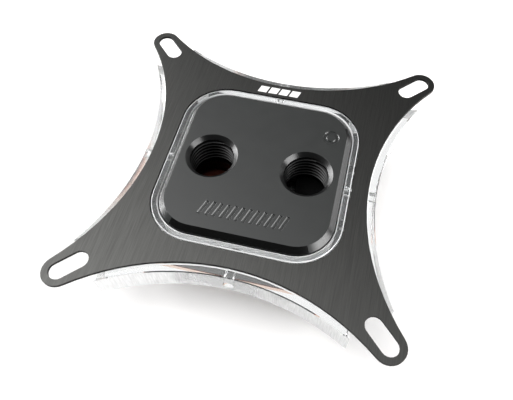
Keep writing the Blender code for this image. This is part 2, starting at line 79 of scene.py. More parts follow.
# World: directions are unit vectors, and a fade is a span of one of their coordinates
GLOW_PLACE = (-0.62, -0.22)           # on a ceiling at height 1
GLOW_RADIANCE = 6.5
GLOW_FOCUS = 6.0
GLOW_FADE_Y = (-0.35, 0.1)            # from none in front to all of it overhead
BACK_FADE_Y = (0.8, 1.0)
BACK_RADIANCE = (0.02, 0.4)
HORIZON_FADE_Z = (0.02, 0.18)
HORIZON_FADE_Y = (-0.15, 0.2)
HORIZON_RADIANCE = 2.2

# Floor
FLOOR_HALF = 1.5
FLOOR_DROP = 0.01 * MM
FLOOR_COLOUR = (0.80, 0.79, 0.785)
FLOOR_ROUGHNESS = 0.9
FLOOR_LIFT = 0.13                     # how much whiter the camera sees the floor by the block
# Painted light: away from this place, front left of the block, the camera sees the floor ever whiter,
# which washes out the shadow on the right and behind.
FLOOR_FADE_PLACE = (-0.03, -0.07, 0.0)
FLOOR_FADE = (0.04, 0.4)              # distances from that place over which the lift grows to white

# Ports, G 1/4: a cone in the boss's top, then the thread
PORT_X = 13.0 * MM
PORT_MOUTH_RADIUS = 7.1 * MM
THREAD_RADIUS = 6.58 * MM
THREAD_CREST_RADIUS = 5.72 * MM
THREAD_PITCH = 1.337 * MM
THREAD_LENGTH = 8.0 * MM
THREAD_SINK = 0.05 * MM               # of the ridge's root into the bore's wall
THREAD_ROOT_HALF = 0.46 * THREAD_PITCH
THREAD_CREST_HALF = 0.09 * THREAD_PITCH
THREAD_EDGE = 0.28                    # share of a flank by its crest, which takes the cone's glossy finish as a painted highlight
THREAD_TAPER_TURNS = 0.25
THREAD_END_SHARE = 0.02               # of the full ridge, where it starts and ends
THREAD_STEPS = 64                     # in one turn
TURN_STEPS = 128
CONE_PROUD = 0.015 * MM               # of the smooth cone before the solid's own
CONE_END_RADIUS = 6.0 * MM
CONE_BOTTOM = PORT_MOUTH_RADIUS - CONE_END_RADIUS - CONE_PROUD
CONE_LIP = 0.12 * MM
CONE_FLANK = 0.35 * MM
THREAD_ROOT_RADIUS = THREAD_RADIUS + THREAD_SINK
THREAD_START = CONE_BOTTOM + CONE_LIP + THREAD_PITCH / 2
THREAD_EDGE_RADIUS = THREAD_CREST_RADIUS + (THREAD_RADIUS - THREAD_CREST_RADIUS) * THREAD_EDGE

# Generic marks: grooves in the boss's top and blocks printed on the bracket
STROKE_DEPTH = 0.22 * MM
STROKE_WIDTH = 1.0 * MM
STROKE_WALL = 0.22 * MM               # width of each sloping wall
STROKE_OVERRUN = 0.2 * MM             # of the cutter above the surface
STROKE_COUNT = 12
STROKE_SPAN_X = (-10.6 * MM, 10.6 * MM)
STROKE_SPAN_Y = (-17.4 * MM, -14.3 * MM)
STROKE_LEAN = 0.55 * MM
INLET_MARK = (17.4 * MM, 13.2 * MM)
INLET_MARK_RADIUS = 1.7 * MM
PRINT_COUNT = 4
PRINT_SPAN_X = (-6.5 * MM, 5.5 * MM)
PRINT_SPAN_Y = (26.45 * MM, 28.75 * MM)
PRINT_LEAN = 0.35 * MM
PRINT_GAP = 0.55 * MM
PRINT_THICKNESS = 0.015 * MM

# Clear plate: its lip, and a low white ridge that frames the bracket's four arcs, as a painted
# highlight along the bracket's edge
CORNER_CENTRE = 13.05 * MM            # centre of the boss and lip corner arcs, from the axis
LIP_EDGE = 0.25 * MM                  # chamfer on the two top edges of the lip
LIP_MARGIN = 0.05 * MM
RIDGE_SPAN = 27.0 * MM                # how far the ridge runs to each side of an arc's middle
RIDGE_WIDTH = 0.3 * MM
RIDGE_HEIGHT = 0.2 * MM
RIDGE_SHIFT = 0.3                     # of its width, out from under the bracket's edge
RIDGE_LIFT = 0.005 * MM
RIM_ANGLE = 0.5                       # radians, the least turn of an edge of the bracket's outline

# Which faces take which finish
TOLERANCE = 0.01 * MM
UPRIGHT_LIMIT = 0.2                   # most upward part of an upright face's normal
LEVEL_LIMIT = 0.97                    # least upward part of a level face's normal
RAIL_REACH = 28.3 * MM                # past the opening and inside the clear plate's outer sides
SIDE_FACE_AREA = 0.9 * MM * MM        # a diode bore's faces are smaller
BORE_MARGIN = 0.5 * MM                # between a diode bore and the clear plate's top or bottom
CHAMFER_REACH = 21.0 * MM             # past the ports' cones, where only the boss's chamfer tilts
FLANGE_REACH = 22.0 * MM
FLANGE_DROP = 5.0 * MM                # least drop from the boss's top to the flange
SHADED_SHARE = 0.3                    # of the base's height, below the channels' floors

# Welding and shading
WELD_DISTANCE = 0.001 * MM
FLAT_ANGLE = 0.2                      # degrees between faces that become one
SMOOTH_ANGLE = 30                     # degrees; faces that meet at less are shaded as one
TURNED_SMOOTH_ANGLE = 20

# Materials: the scale of a noise is in features to the metre
EDGE_ROUNDING = 0.09 * MM
NOISE_SPAN = (0.3, 0.7)               # what most of a noise's values lie between
NARROW_SPAN = (0.35, 0.65)
ACRYLIC_IOR = 1.49
MIX_FIRST, MIX_SECOND, MIX_RESULT = 6, 7, 2    # a Mix node's colour sockets


# Meshes

def meshed(edit, name):
    mesh = bpy.data.meshes.new(name)
    edit.to_mesh(mesh)
    edit.free()
    return mesh


def added(name, data):
    piece = bpy.data.objects.new(name, data)
    bpy.context.scene.collection.objects.link(piece)
    return piece


def smooth(mesh, angle=SMOOTH_ANGLE):
    mesh.shade_smooth()
    mesh.set_sharp_from_angle(angle=math.radians(angle))


def refined(node, name):
    """A welded, smooth-shaded piece with the shape of a node of the frame, which it stands for."""
    edit = bmesh.new()
    edit.from_mesh(frame["nodes"][node].data)
    bmesh.ops.remove_doubles(edit, verts=edit.verts, dist=WELD_DISTANCE)
    limit = math.radians(FLAT_ANGLE)
    bmesh.ops.dissolve_limit(edit, angle_limit=limit, verts=edit.verts, edges=edit.edges)
    mesh = meshed(edit, name)
    if "custom_normal" in mesh.attributes:
        mesh.attributes.remove(mesh.attributes["custom_normal"])
    piece = added(name, mesh)
    smooth(mesh)
    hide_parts(node)
    return piece


def cut_with(piece, cutters):
    """Cuts the cutters out of a piece one by one and removes them."""
    for cutter in cutters:
        step = piece.modifiers.new(cutter.name, "BOOLEAN")
        step.operation = "DIFFERENCE"
        step.solver = "EXACT"
        step.object = cutter
    graph = bpy.context.evaluated_depsgraph_get()
    graph.update()
    cut = bpy.data.meshes.new_from_object(piece.evaluated_get(graph))
    piece.modifiers.clear()
    cut.name = piece.data.name
    piece.data = cut
    for cutter in cutters:
        bpy.data.objects.remove(cutter, do_unlink=True)
    smooth(cut)


def join_rings(edit, rings):
    for here, ahead in zip(rings, rings[1:]):
        for index in range(len(here)):
            after = (index + 1) % len(here)
            edit.faces.new((here[index], here[after], ahead[after], ahead[index]))


def cap(edit, rings):
    edit.faces.new(rings[0])
    edit.faces.new(reversed(rings[-1]))


def turned_point(edit, centre, top, angle, point):
    """A vertex at a (radius, depth) point of a section, turned round a centre."""
    radius, depth = point
    x = centre[0] + radius * math.cos(angle)
    y = centre[1] + radius * math.sin(angle)
    return edit.verts.new((x, y, top - depth))


def turn(edit, centre, top, section):
    """Turns a closed section of (radius, depth) points all the way round a centre."""
    rings = [
        [turned_point(edit, centre, top, math.tau * step / TURN_STEPS, point) for point in section]
        for step in range(TURN_STEPS)
    ]
    join_rings(edit, rings + rings[:1])


def turned_piece(edit, name):
    bmesh.ops.recalc_face_normals(edit, faces=edit.faces)
    mesh = meshed(edit, name)
    smooth(mesh, TURNED_SMOOTH_ANGLE)
    return added(name, mesh)


# Ports

def thread(name, centre_x, top):
    """The helical ridge of an inside thread, which fades in and out at its ends."""
    edit = bmesh.new()
    steps = round(THREAD_LENGTH / THREAD_PITCH * THREAD_STEPS)
    rings = []
    for step in range(steps + 1):
        angle = math.tau * step / THREAD_STEPS
        depth = THREAD_START + THREAD_PITCH * step / THREAD_STEPS
        turns_to_end = min(step, steps - step) / THREAD_STEPS
        section = thread_section(depth, min(1, turns_to_end / THREAD_TAPER_TURNS))
        rings.append([turned_point(edit, (centre_x, 0), top, angle, point) for point in section])
    join_rings(edit, rings)
    cap(edit, rings)
    return turned_piece(edit, name)


def thread_section(depth, share):
    """The ridge's section at a depth, at a share of its full height."""
    share = max(share, THREAD_END_SHARE)
    crest = THREAD_RADIUS - (THREAD_RADIUS - THREAD_CREST_RADIUS) * share
    crest_half = THREAD_ROOT_HALF - (THREAD_ROOT_HALF - THREAD_CREST_HALF) * share
    edge_radius = crest + (THREAD_ROOT_RADIUS - crest) * THREAD_EDGE
    edge_half = crest_half + (THREAD_ROOT_HALF - crest_half) * THREAD_EDGE
    return [
        (THREAD_ROOT_RADIUS, depth - THREAD_ROOT_HALF),
        (edge_radius, depth - edge_half),
        (crest, depth - crest_half),
        (crest, depth + crest_half),
        (THREAD_ROOT_RADIUS, depth + THREAD_ROOT_HALF),
    ]


def countersink(name, centre_x, top):
    """A port's smooth cone down to the thread's crest, as a ring that backs into the bore."""
    edit = bmesh.new()
    section = [
        (PORT_MOUTH_RADIUS - 2 * CONE_PROUD, CONE_PROUD),
        (CONE_END_RADIUS, CONE_BOTTOM),
        (CONE_END_RADIUS, CONE_BOTTOM + CONE_LIP),
        (THREAD_ROOT_RADIUS, CONE_BOTTOM + CONE_LIP + CONE_FLANK),
    ]
    turn(edit, (centre_x, 0), top, section)
    return turned_piece(edit, name)


# Marks

def name_place_lines():
    """A row of plain slanted strokes where the front of the housing is engraved."""
    left, right = STROKE_SPAN_X
    front, back = STROKE_SPAN_Y
    pitch = (right - left) / (STROKE_COUNT - 1)
    middles = [left + pitch * index for index in range(STROKE_COUNT)]
    return [((x - STROKE_LEAN, front), (x + STROKE_LEAN, back)) for x in middles]


def strokes(name, lines, height):
    """Grooves with a flat floor and sloping walls along the given lines, as one cutter."""
    edit = bmesh.new()
    half = STROKE_WIDTH / 2
    levels = ((half, STROKE_OVERRUN), (half, 0), (half - STROKE_WALL, -STROKE_DEPTH))
    for start, end in lines:
        start = Vector((*start, 0))
        end = Vector((*end, 0))
        along = (end - start).normalized()
        side = Vector((-along.y, along.x, 0))
        rings = []
        for margin, rise in levels:
            lift = Vector((0, 0, height + rise))
            places = (
                start - (along + side) * margin,
                end + (along - side) * margin,
                end + (along + side) * margin,
                start - (along - side) * margin,
            )
            rings.append([edit.verts.new(place + lift) for place in places])
        join_rings(edit, rings)
        cap(edit, rings)
    bmesh.ops.recalc_face_normals(edit, faces=edit.faces)
    cutter = added(name, meshed(edit, name))
    cutter.hide_render = True
    return cutter


def ring_groove(name, centre, radius, height):
    """A groove like the strokes, round a place, as a cutter."""
    edit = bmesh.new()
    half = STROKE_WIDTH / 2
    section = [
        (radius - half, -STROKE_OVERRUN),
        (radius + half, -STROKE_OVERRUN),
        (radius + half, 0),
        (radius + half - STROKE_WALL, STROKE_DEPTH),
        (radius - half + STROKE_WALL, STROKE_DEPTH),
        (radius - half, 0),
    ]
    turn(edit, centre, height, section)
    cutter = turned_piece(edit, name)
    cutter.hide_render = True
    return cutter


def print_outlines():
    """Plain slanted blocks printed on the bracket behind the housing."""
    left, right = PRINT_SPAN_X
    front, back = PRINT_SPAN_Y
    width = (right - left - PRINT_GAP * (PRINT_COUNT - 1)) / PRINT_COUNT
    outlines = []
    for index in range(PRINT_COUNT):
        start = left + index * (width + PRINT_GAP)
        outlines.append([
            (start - PRINT_LEAN, front),
            (start - PRINT_LEAN + width, front),
            (start + PRINT_LEAN + width, back),
            (start + PRINT_LEAN, back),
        ])
    return outlines


def slabs(name, outlines, bottom, thickness):
    """Flat prisms with the given outlines, as one mesh."""
    edit = bmesh.new()
    for outline in outlines:
        low = [edit.verts.new((x, y, bottom)) for x, y in outline]
        high = [edit.verts.new((x, y, bottom + thickness)) for x, y in outline]
        edit.faces.new(reversed(low))
        edit.faces.new(high)
        join_rings(edit, (low, high))
    return added(name, meshed(edit, name))


# Ridge of the clear plate

def rim_edges(mesh, height):
    """Point pairs of a mesh's outline at a height, along the four arcs between the arms."""
    edit = bmesh.new()
    edit.from_mesh(mesh)
    pairs = []
    for edge in edit.edges:
        middle = (edge.verts[0].co + edge.verts[1].co) / 2
        side, front = sorted((abs(middle.x), abs(middle.y)))
        at_height = abs(middle.z - height) < TOLERANCE
        turns = edge.is_manifold and edge.calc_face_angle() > RIM_ANGLE
        if at_height and turns and side < RIDGE_SPAN and front > RAIL_REACH:
            pairs.append([vert.co.xy.copy().freeze() for vert in edge.verts])
    edit.free()
    return pairs


def chains(pairs):
    """The same points as open lines, each in order."""
    lines = []
    pairs = list(pairs)
    while pairs:
        line = pairs.pop()
        grown = True
        while grown:
            grown = False
            for pair in list(pairs):
                for first, second in (pair, pair[::-1]):
                    if first == line[-1]:
                        line.append(second)
                    elif first == line[0]:
                        line.insert(0, second)
                    else:
                        continue
                    pairs.remove(pair)
                    grown = True
                    break
        lines.append(line)
    return lines


def ridges(name, lines, bottom):
    """Low ridges along lines, upright towards the axis and sloping on their outer side; they carry a
    painted highlight.
    """
    edit = bmesh.new()
    for line in lines:
        rings = []
        for index, point in enumerate(line):
            along = (line[min(index + 1, len(line) - 1)] - line[max(index - 1, 0)]).normalized()
            out = Vector((along.y, -along.x))
            out *= math.copysign(RIDGE_WIDTH, out.dot(point))
            inner = point + out * RIDGE_SHIFT
            outer = inner + out
            rings.append([
                edit.verts.new((*inner, bottom)),
                edit.verts.new((*outer, bottom)),
                edit.verts.new((*inner, bottom + RIDGE_HEIGHT)),
            ])
        join_rings(edit, rings)
        cap(edit, rings)
    bmesh.ops.recalc_face_normals(edit, faces=edit.faces)
    mesh = meshed(edit, name)
    smooth(mesh)
    return added(name, mesh)


# Materials

class Nodes:
    """The node tree of a material or world, with short calls to add and join nodes."""

    def __init__(self, owner, shader="Principled BSDF"):
        owner.use_nodes = True
        self.tree = owner.node_tree
        self.shader = self.tree.nodes[shader]
        self.owner = owner

    def add(self, kind, inputs=None, **settings):
        node = self.tree.nodes.new("ShaderNode" + kind)
        for key, value in settings.items():
            setattr(node, key, value)
        for key, value in (inputs or {}).items():
            self.set(node, key, value)
        return node

    def set(self, node, key, value):
        if isinstance(value, bpy.types.NodeSocket):
            self.tree.links.new(value, node.inputs[key])
        else:
            node.inputs[key].default_value = value

    def base(self, **values):
        """Sets the shader's own sockets: base_color stands for Base Color, and so on."""
        for key, value in values.items():
            self.set(self.shader, key.replace("_", " ").title().replace("Ior", "IOR"), value)

    def coords(self):
        return self.add("TexCoord").outputs["Object"]

    def noise(self, scale, detail=2.0, roughness=0.5, rotation=(0, 0, 0)):
        """Noise over the piece, with one scale or one for each axis, and a rotation in radians."""
        if not isinstance(scale, tuple):
            scale = (scale,) * 3
        placed = self.add("Mapping", {"Vector": self.coords(), "Rotation": rotation, "Scale": scale})
        inputs = {
            "Vector": placed.outputs["Vector"],
            "Scale": 1.0,
            "Detail": detail,
            "Roughness": roughness,
        }
        return self.add("TexNoise", inputs).outputs["Fac"]

    def lines(self, distance, scale):
        """Noise that changes only with a distance, so that it draws lines."""
        inputs = {"W": self.math("MULTIPLY", distance, scale), "Scale": 1.0}
        return self.add("TexNoise", inputs, noise_dimensions="1D").outputs["Fac"]

    def spread(self, value, low, high, span=NOISE_SPAN):
        """Takes a span of the value to low and high, and stays at them outside it."""
        inputs = {
            "Value": value,
            "From Min": span[0],
            "From Max": span[1],
            "To Min": low,
            "To Max": high,
        }
        return self.add("MapRange", inputs).outputs["Result"]

    def math(self, operation, first, second=0.0):
        return self.add("Math", {0: first, 1: second}, operation=operation).outputs[0]

    def vector(self, operation, first, second=(0, 0, 0)):
        """The vector that a vector operation gives."""
        node = self.add("VectorMath", {0: first, 1: second}, operation=operation)
        return node.outputs["Vector"]

    def measure(self, operation, first, second=(0, 0, 0)):
        """The number that a vector operation gives, such as a length."""
        node = self.add("VectorMath", {0: first, 1: second}, operation=operation)
        return node.outputs["Value"]

    def mixed(self, factor, first, second):
        """A mix of two colours."""
        node = self.add("Mix", {"Factor": factor}, data_type="RGBA")
        self.set(node, MIX_FIRST, (*first, 1))
        self.set(node, MIX_SECOND, (*second, 1))
        return node.outputs[MIX_RESULT]

    def bump(self, height, depth, normal=None):
        inputs = {"Height": height, "Distance": depth, "Strength": 1.0}
        if normal is not None:
            inputs["Normal"] = normal
        return self.add("Bump", inputs).outputs["Normal"]

    def soft_edges(self):
        return self.add("Bevel", {"Radius": EDGE_ROUNDING}, samples=4).outputs["Normal"]


def material_nodes(name):
    return Nodes(bpy.data.materials.new(name))


def brushed_aluminium():
    """Black anodised aluminium, brushed along Y."""
    nodes = material_nodes("black_anodised_aluminium")
    fine = nodes.noise((6500, 110, 6500), detail=4.0, roughness=0.65)
    broad = nodes.noise((1500, 40, 1500))
    streak = nodes.math("ADD", nodes.math("MULTIPLY", fine, 0.8), nodes.math("MULTIPLY", broad, 0.2))
    factor = nodes.spread(streak, 0, 1, span=(0.36, 0.64))
    across = nodes.add("CombineXYZ", {"X": 1.0, "Y": 0.0, "Z": 0.0}).outputs["Vector"]
    nodes.base(
        base_color=nodes.mixed(factor, (0.058, 0.058, 0.056), (0.082, 0.082, 0.079)),
        metallic=1.0,
        roughness=nodes.spread(fine, 0.40, 0.30, span=NARROW_SPAN),
        anisotropic=0.55,
        tangent=across,
        normal=nodes.bump(fine, 0.004 * MM, nodes.soft_edges()),
    )
    return nodes.owner


def shaded_cut_aluminium():
    """The bracket's milled edges, matt black, with painted shade: far darker and less reflective than
    the brushed top, for the dark lines along its upright walls.
    """
    nodes = material_nodes("shaded_cut_aluminium")
    marks = nodes.noise((1500, 1500, 300))
    nodes.base(
        base_color=nodes.mixed(marks, (0.003, 0.003, 0.003), (0.006, 0.006, 0.006)),
        roughness=nodes.spread(marks, 0.45, 0.55),
        specular_ior_level=0.15,
    )
    return nodes.owner


def black_acetal():
    """Milled black acetal with a fine satin grain."""
    nodes = material_nodes("black_acetal")
    grain = nodes.noise(3500, detail=3.0)
    patches = nodes.noise(260, detail=3.0)
    nodes.base(
        base_color=nodes.mixed(patches, (0.013, 0.0145, 0.014), (0.017, 0.0185, 0.018)),
        roughness=nodes.spread(patches, 0.30, 0.35),
        ior=1.55,
        normal=nodes.bump(grain, 0.0012 * MM, nodes.soft_edges()),
    )
    return nodes.owner


def cut_and_shaded_acetal():
    """Acetal where a chamfer cutter left it smoother, with painted shade: its colour is far darker
    than the top's, to deepen the chamfers' dark sides.
    """
    nodes = material_nodes("cut_and_shaded_acetal")
    grain = nodes.noise(2200)
    nodes.base(
        base_color=nodes.mixed(grain, (0.0018, 0.0019, 0.0019), (0.0030, 0.0032, 0.0031)),
        roughness=nodes.spread(grain, 0.22, 0.27),
        ior=1.52,
        normal=nodes.bump(grain, 0.0003 * MM, nodes.soft_edges()),
    )
    return nodes.owner


def turned_acetal(name, centre_x, colour, roughness, spread, shine):
    """Acetal turned round a port's axis: fine rings, and shine that spreads away from the axis."""
    nodes = material_nodes(name)
    away = nodes.vector("SUBTRACT", nodes.coords(), (centre_x, 0, 0))
    flat = nodes.vector("MULTIPLY", away, (1, 1, 0))
    rings = nodes.lines(nodes.measure("LENGTH", flat), 9000)
    nodes.base(
        base_color=(*colour, 1.0),
        roughness=roughness,
        anisotropic=spread,
        ior=1.52,
        specular_ior_level=shine,
        tangent=nodes.vector("NORMALIZE", flat),
        normal=nodes.bump(rings, 0.003 * MM),
    )
    return nodes.owner


def cone_acetal(name, centre_x):
    """A port's cone, left glossy by the tools, and its thread's edges, where the same finish is a
    painted highlight.
    """
    return turned_acetal(
        name + "_cone", centre_x, (0.004, 0.0042, 0.0042), roughness=0.31, spread=0.55, shine=0.5
    )


def bore_acetal(name, centre_x):
    """A port's deep walls, where little light gets in."""
    return turned_acetal(
        name + "_bore", centre_x, (0.0012, 0.0013, 0.0013), roughness=0.16, spread=0.2, shine=0.12
    )


def flange_acetal():
    """The flange's top under the clear plate, left matt by the milling cutter."""
    nodes = material_nodes("flange_acetal")
    grain = nodes.noise(900, detail=3.0)
    nodes.base(
        base_color=nodes.mixed(grain, (0.080, 0.084, 0.084), (0.105, 0.108, 0.108)),
        roughness=nodes.spread(grain, 0.5, 0.6),
    )
    return nodes.owner


def shaded_acetal():
    """The rough milled floor of a port."""
    nodes = material_nodes("shaded_acetal")
    grain = nodes.noise(1800)
    nodes.base(
        base_color=nodes.mixed(grain, (0.0015, 0.0015, 0.0015), (0.003, 0.003, 0.003)),
        roughness=nodes.spread(grain, 0.75, 0.9),
        specular_ior_level=0.15,
    )
    return nodes.owner


def clear_acrylic():
    """Clear acrylic with polished faces and fine tool marks on its milled sides."""
    nodes = material_nodes("clear_acrylic")
    marks = nodes.noise((2600, 2600, 700))
    nodes.base(
        base_color=(0.985, 0.99, 0.99, 1.0),
        transmission_weight=1.0,
        ior=ACRYLIC_IOR,
        roughness=0.02,
        normal=nodes.bump(marks, 0.001 * MM),
    )
    return nodes.owner


def routed_acrylic():
    """The outer sides, left glossy with slanted tool marks and clearer in their middles."""
    nodes = material_nodes("routed_acrylic")
    marks = nodes.noise(900)
    hatch = nodes.noise((3800, 3800, 260), rotation=(0.6, 0.6, 0.0))
    place = nodes.add("SeparateXYZ", {"Vector": nodes.vector("ABSOLUTE", nodes.coords())}).outputs
    from_middle = nodes.math("MINIMUM", place["X"], place["Y"])
    uneven = nodes.math("MULTIPLY", nodes.noise(160), 20 * MM)
    clear = nodes.spread(nodes.math("ADD", from_middle, uneven), 0.36, -0.06, span=(14 * MM, 28 * MM))
    nodes.base(
        base_color=(0.98, 0.982, 0.982, 1.0),
        transmission_weight=nodes.math("ADD", clear, nodes.spread(hatch, 0.36, 0.52)),
        ior=ACRYLIC_IOR,
        roughness=nodes.spread(marks, 0.06, 0.18, span=NARROW_SPAN),
        normal=nodes.bump(hatch, 0.0015 * MM),
    )
    return nodes.owner


def bored_acrylic():
    """The drilled walls of the diode bores, half frosted."""
    nodes = material_nodes("bored_acrylic")
    marks = nodes.noise(2400)
    nodes.base(
        base_color=nodes.mixed(marks, (0.94, 0.95, 0.95), (0.98, 0.985, 0.985)),
        transmission_weight=0.6,
        ior=ACRYLIC_IOR,
        roughness=nodes.spread(marks, 0.15, 0.3),
    )
    return nodes.owner


def lip_acrylic():
    """The lip's top, milled in fine lines that follow its outline."""
    nodes = material_nodes("lip_acrylic")
    side = nodes.vector("ABSOLUTE", nodes.coords())
    past_corner = nodes.vector("SUBTRACT", side, (CORNER_CENTRE, CORNER_CENTRE, 0))
    flat = nodes.vector("MULTIPLY", nodes.vector("MAXIMUM", past_corner), (1, 1, 0))
    lines = nodes.lines(nodes.measure("LENGTH", flat), 5200)
    patches = nodes.noise(300)
    nodes.base(
        base_color=nodes.mixed(lines, (0.72, 0.74, 0.75), (0.92, 0.94, 0.95)),
        transmission_weight=0.97,
        ior=ACRYLIC_IOR,
        roughness=nodes.spread(patches, 0.10, 0.20),
        normal=nodes.bump(lines, 0.004 * MM),
    )
    return nodes.owner


def painted_highlight_acrylic():
    """The plate's narrow chamfers and its ridge, opaque white: painted highlights for the white lines
    of light along the clear edges.
    """
    nodes = material_nodes("painted_highlight_acrylic")
    marks = nodes.noise(900)
    nodes.base(
        base_color=nodes.mixed(marks, (0.93, 0.94, 0.94), (0.98, 0.985, 0.985)),
        ior=ACRYLIC_IOR,
        roughness=0.3,
    )
    return nodes.owner


def milled_acrylic():
    """The inner walls, which a cutter left frosted."""
    nodes = material_nodes("milled_acrylic")
    marks = nodes.noise((1500, 1500, 5000), detail=3.0)
    nodes.base(
        base_color=nodes.mixed(marks, (0.95, 0.955, 0.955), (0.99, 0.99, 0.99)),
        ior=ACRYLIC_IOR,
        roughness=0.45,
        normal=nodes.bump(marks, 0.004 * MM),
    )
    return nodes.owner


def hazy_acrylic():
    """The plate's underside, covered in fine scratches."""
    nodes = material_nodes("hazy_acrylic")
    scratches = nodes.noise(900, detail=4.0)
    nodes.base(
        base_color=nodes.mixed(scratches, (0.93, 0.94, 0.94), (0.97, 0.98, 0.98)),
        transmission_weight=0.93,
        ior=ACRYLIC_IOR,
        roughness=nodes.spread(scratches, 0.03, 0.10),
    )
    return nodes.owner


def machined_copper():
    """Bare copper with fine lines along X."""
    nodes = material_nodes("copper")
    lines = nodes.noise((120, 4200, 4200))
    nodes.base(
        base_color=nodes.mixed(lines, (0.80, 0.60, 0.50), (0.88, 0.69, 0.60)),
        metallic=1.0,
        roughness=nodes.spread(lines, 0.22, 0.34),
        normal=nodes.bump(lines, 0.002 * MM, nodes.soft_edges()),
    )
    return nodes.owner


def shaded_copper():
    """Copper inside the water chamber, with painted shade: far darker than the outside, for the dim
    chamber under the ports, and duller.
    """
    nodes = material_nodes("shaded_copper")
    mottling = nodes.noise(700, detail=3.0)
    nodes.base(
        base_color=nodes.mixed(mottling, (0.12, 0.034, 0.023), (0.24, 0.08, 0.056)),
        metallic=1.0,
        roughness=nodes.spread(mottling, 0.45, 0.60),
    )
    return nodes.owner


def stainless_steel():
    """Plain steel for the screws and the jet plate."""
    nodes = material_nodes("stainless_steel")
    grain = nodes.noise(2500)
    nodes.base(
        base_color=nodes.mixed(grain, (0.50, 0.50, 0.49), (0.62, 0.62, 0.61)),
        metallic=1.0,
        roughness=nodes.spread(grain, 0.26, 0.36),
        normal=nodes.soft_edges(),
    )
    return nodes.owner


def black_rubber():
    """Matt rubber for the gasket and the seal."""
    nodes = material_nodes("black_rubber")
    grain = nodes.noise(1800, detail=3.0)
    nodes.base(
        base_color=nodes.mixed(grain, (0.012, 0.012, 0.012), (0.022, 0.022, 0.022)),
        roughness=nodes.spread(grain, 0.62, 0.78),
        normal=nodes.bump(grain, 0.004 * MM),
    )
    return nodes.owner


def white_print():
    """White ink, slightly uneven."""
    nodes = material_nodes("white_print")
    ink = nodes.noise(1500, detail=3.0)
    nodes.base(
        base_color=nodes.mixed(ink, (0.84, 0.84, 0.83), (0.92, 0.92, 0.91)),
        roughness=nodes.spread(ink, 0.42, 0.55),
    )
    return nodes.owner


# Studio

def camera():
    data = bpy.data.cameras.new("camera")
    data.lens = CAMERA_LENS
    data.sensor_width = CAMERA_SENSOR
    data.shift_x = CAMERA_SHIFT
    data.clip_start, data.clip_end = CAMERA_CLIP
    item = added("camera", data)
    item.location = CAMERA_PLACE
    item.rotation_euler = [math.radians(angle) for angle in CAMERA_TURN]
    bpy.context.scene.camera = item


def softbox(name, place, aim, size, radiance):
    """A rectangular lamp at a place, turned to its aim, of the given width, height and radiance."""
    data = bpy.data.lights.new(name, "AREA")
    data.shape = "RECTANGLE"
    data.size, data.size_y = size
    data.energy = radiance * math.pi * data.size * data.size_y
    item = added(name, data)
    item.location = place
    item.rotation_euler = (Vector(aim) - Vector(place)).to_track_quat("-Z", "Y").to_euler()
    item.visible_camera = False


def floor():
    """A pale floor that looks white to the camera and in reflections, and keeps the shadow near the
    block's front left; further out, painted light washes it away.
    """
    edit = bmesh.new()
    bmesh.ops.create_grid(edit, x_segments=2, y_segments=2, size=FLOOR_HALF)
    item = added("floor", meshed(edit, "floor"))
    item.location.z = -FLOOR_DROP
    item.data.materials.append(pale_floor())


def pale_floor():
    nodes = material_nodes("floor")
    nodes.base(
        base_color=(*FLOOR_COLOUR, 1.0), roughness=FLOOR_ROUGHNESS, specular_ior_level=0.0
    )
    rays = nodes.add("LightPath").outputs
    # painted light: the lift grows with the distance from FLOOR_FADE_PLACE, fading the shadow out
    # away from the block's front left
    away = nodes.measure("DISTANCE", nodes.coords(), FLOOR_FADE_PLACE)
    lift = nodes.math(
        "MULTIPLY", rays["Is Camera Ray"], nodes.spread(away, FLOOR_LIFT, 1.0, span=FLOOR_FADE)
    )
    glow = nodes.add("Emission", {"Color": (1, 1, 1, 1), "Strength": lift}).outputs[0]
    lifted = nodes.add("AddShader", {0: nodes.shader.outputs[0], 1: glow}).outputs[0]
    white = nodes.add("Emission", {"Color": (1, 1, 1, 1), "Strength": 1.0}).outputs[0]
    mirrored = nodes.math("MAXIMUM", rays["Is Glossy Ray"], rays["Is Transmission Ray"])
    surface = nodes.add("MixShader", {0: mirrored, 1: lifted, 2: white}).outputs[0]
    nodes.set(nodes.tree.nodes["Material Output"], "Surface", surface)
    return nodes.owner


def world():
    """White to the camera and through the clear plate, and otherwise three soft glows.

    One is overhead to the left, one behind the block and one along the horizon at the back.
    """
    made = bpy.data.worlds.new("studio")
    bpy.context.scene.world = made
    nodes = Nodes(made, "Background")
    way = nodes.add("TexCoord").outputs["Generated"]
    part = nodes.add("SeparateXYZ", {"Vector": way}).outputs
    overhead = nodes.math(
        "MULTIPLY", glow_lobe(nodes, way), nodes.spread(part["Y"], 0, 1, span=GLOW_FADE_Y)
    )
    back = nodes.spread(part["Y"], *BACK_RADIANCE, span=BACK_FADE_Y)
    horizon = nodes.math(
        "MULTIPLY",
        nodes.spread(part["Z"], HORIZON_RADIANCE, 0, span=HORIZON_FADE_Z),
        nodes.spread(part["Y"], 0, 1, span=HORIZON_FADE_Y),
    )
    glows = nodes.math("ADD", overhead, nodes.math("ADD", back, horizon))
    rays = nodes.add("LightPath").outputs
    white = nodes.math("MAXIMUM", rays["Is Camera Ray"], rays["Is Transmission Ray"])
    nodes.base(strength=nodes.math("MAXIMUM", white, glows), color=(1, 1, 1, 1))


def glow_lobe(nodes, way):
    """Radiance that fades smoothly round a place on the ceiling."""
    toward = Vector((*GLOW_PLACE, 1)).normalized()
    near = nodes.measure("DOT_PRODUCT", way, toward)
    fade = nodes.math("MULTIPLY", nodes.math("SUBTRACT", near, 1.0), GLOW_FOCUS)
    return nodes.math("MULTIPLY", nodes.math("EXPONENT", fade), GLOW_RADIANCE)


# Faces

def upright(face):
    return abs(face.normal.z) < UPRIGHT_LIMIT


def tilted(face):
    return UPRIGHT_LIMIT < face.normal.z < LEVEL_LIMIT


def level(face):
    return face.normal.z > LEVEL_LIMIT


